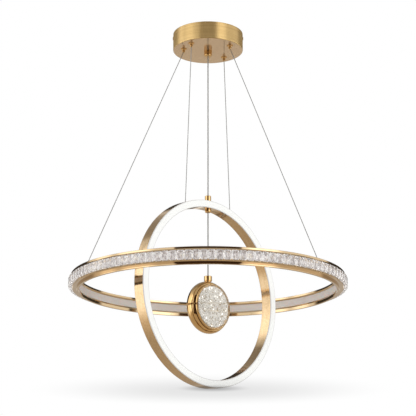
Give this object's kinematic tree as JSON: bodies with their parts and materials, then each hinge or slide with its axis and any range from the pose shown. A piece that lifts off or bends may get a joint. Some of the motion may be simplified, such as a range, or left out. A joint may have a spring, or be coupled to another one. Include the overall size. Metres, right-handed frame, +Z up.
{
  "type": "ring pendant light",
  "caption": "Ceiling pendant light with a horizontal crystal ring, an upright lit hoop and a crystal disc, all hung on wires from one round canopy.",
  "frame": {"origin": "centre of the canopy's top, on the ceiling", "axes": "+Z up towards the ceiling, +X to the right and -Y towards a person who faces the light as the picture shows it"},
  "size_m": [0.6, 0.6, 0.8005],
  "materials": {
    "canopy_brass": "brushed satin gold",
    "polished_brass": "polished gold",
    "hidden_brass": "turned brass",
    "gold_rail": "anodised gold",
    "gold_channel": "anodised gold",
    "steel_plate": "zinc plated",
    "screw_steel": "zinc plated",
    "driver_plastic": "moulded",
    "terminal_plastic": "moulded",
    "suspension_wire": "stranded",
    "clear_cable": "clear jacket",
    "led_strip": "white solder mask",
    "ring_opal": "opal",
    "hoop_opal": "lit opal",
    "disc_opal": "opal",
    "cut_crystal": "step cut and polished",
    "crushed_crystal": "crushed glass"
  },
  "bodies": {
    "canopy": {"canopy_cover": "canopy_brass", "mounting_plate": "steel_plate", "cover_screws": "canopy_brass", "led_driver": "driver_plastic", "driver_screws": "screw_steel", "terminal_block": "terminal_plastic", "terminal_screws": "screw_steel", "earth_screw": "hidden_brass", "cable_gland": "polished_brass", "gland_nut": "hidden_brass", "gland_grub_screw": "screw_steel", "gripper_bodies": "polished_brass", "gripper_nuts": "hidden_brass", "spring_ring_left": "screw_steel", "spring_ring_right": "screw_steel", "spring_ring_rear": "screw_steel", "spring_hoop_left": "screw_steel", "spring_hoop_right": "screw_steel", "ring_wire_left": "suspension_wire", "ring_wire_right": "suspension_wire", "ring_wire_rear": "suspension_wire", "hoop_wire_left": "suspension_wire", "hoop_wire_right": "suspension_wire", "cable_upper": "clear_cable", "wire_tails": "suspension_wire"},
    "nose_ring_left": {"release_ring_left": "polished_brass", "balls_ring_left": "screw_steel"},
    "nose_ring_right": {"release_ring_right": "polished_brass", "balls_ring_right": "screw_steel"},
    "nose_ring_rear": {"release_ring_rear": "polished_brass", "balls_ring_rear": "screw_steel"},
    "nose_hoop_left": {"release_hoop_left": "polished_brass", "balls_hoop_left": "screw_steel"},
    "nose_hoop_right": {"release_hoop_right": "polished_brass", "balls_hoop_right": "screw_steel"},
    "crystal_ring": {"ring_frame": "gold_rail", "ring_inner_led": "led_strip", "ring_outer_led": "led_strip", "ring_diffuser": "ring_opal", "ring_crystals": "cut_crystal", "ring_anchors": "polished_brass"},
    "hoop": {"hoop_channel": "gold_channel", "hoop_led": "led_strip", "hoop_diffuser": "hoop_opal", "hoop_wire_stops": "hidden_brass", "collar_upper": "polished_brass", "collar_lower": "polished_brass", "collar_tube": "hidden_brass", "collar_grub_screws": "screw_steel", "cable_lower": "clear_cable"},
    "ferrule": {"ferrule_cup": "polished_brass", "ferrule_cap": "polished_brass", "ferrule_grub_screw": "screw_steel"},
    "disc": {"swivel_stud": "hidden_brass", "disc_shell": "polished_brass", "disc_bezel": "polished_brass", "disc_crystal": "crushed_crystal", "disc_opal_plate": "disc_opal", "disc_led_board": "led_strip", "board_screws": "screw_steel"}
  },
  "joints": [
    {"name": "push_ring_left", "type": "slide", "parent": "canopy", "child": "nose_ring_left", "axis": [0, 0, 1], "range_m": [0, 0.0015], "stiffness_N_per_m": 800, "springref_m": -0.002, "deforming": ["spring_ring_left"]},
    {"name": "push_ring_right", "type": "slide", "parent": "canopy", "child": "nose_ring_right", "axis": [0, 0, 1], "range_m": [0, 0.0015], "stiffness_N_per_m": 800, "springref_m": -0.002, "deforming": ["spring_ring_right"]},
    {"name": "push_ring_rear", "type": "slide", "parent": "canopy", "child": "nose_ring_rear", "axis": [0, 0, 1], "range_m": [0, 0.0015], "stiffness_N_per_m": 800, "springref_m": -0.002, "deforming": ["spring_ring_rear"]},
    {"name": "push_hoop_left", "type": "slide", "parent": "canopy", "child": "nose_hoop_left", "axis": [0, 0, 1], "range_m": [0, 0.0015], "stiffness_N_per_m": 800, "springref_m": -0.002, "deforming": ["spring_hoop_left"]},
    {"name": "push_hoop_right", "type": "slide", "parent": "canopy", "child": "nose_hoop_right", "axis": [0, 0, 1], "range_m": [0, 0.0015], "stiffness_N_per_m": 800, "springref_m": -0.002, "deforming": ["spring_hoop_right"]},
    {"name": "ring_height", "type": "slide", "parent": "canopy", "child": "crystal_ring", "axis": [0, 0, 1], "range_m": [0, 0.2], "deforming": ["ring_wire_left", "ring_wire_right", "ring_wire_rear"]},
    {"name": "hoop_height", "type": "slide", "parent": "canopy", "child": "hoop", "axis": [0, 0, 1], "range_m": [0, 0.12], "deforming": ["hoop_wire_left", "hoop_wire_right", "cable_upper"]},
    {"name": "disc_height", "type": "slide", "parent": "hoop", "child": "ferrule", "axis": [0, 0, 1], "range_m": [0, 0.08], "deforming": ["cable_lower"]},
    {"name": "disc_swivel", "type": "hinge", "parent": "ferrule", "child": "disc", "pos_m": [0, 0, -0.57], "axis": [0, 0, 1], "range_deg": [-180, 180]}
  ]
}
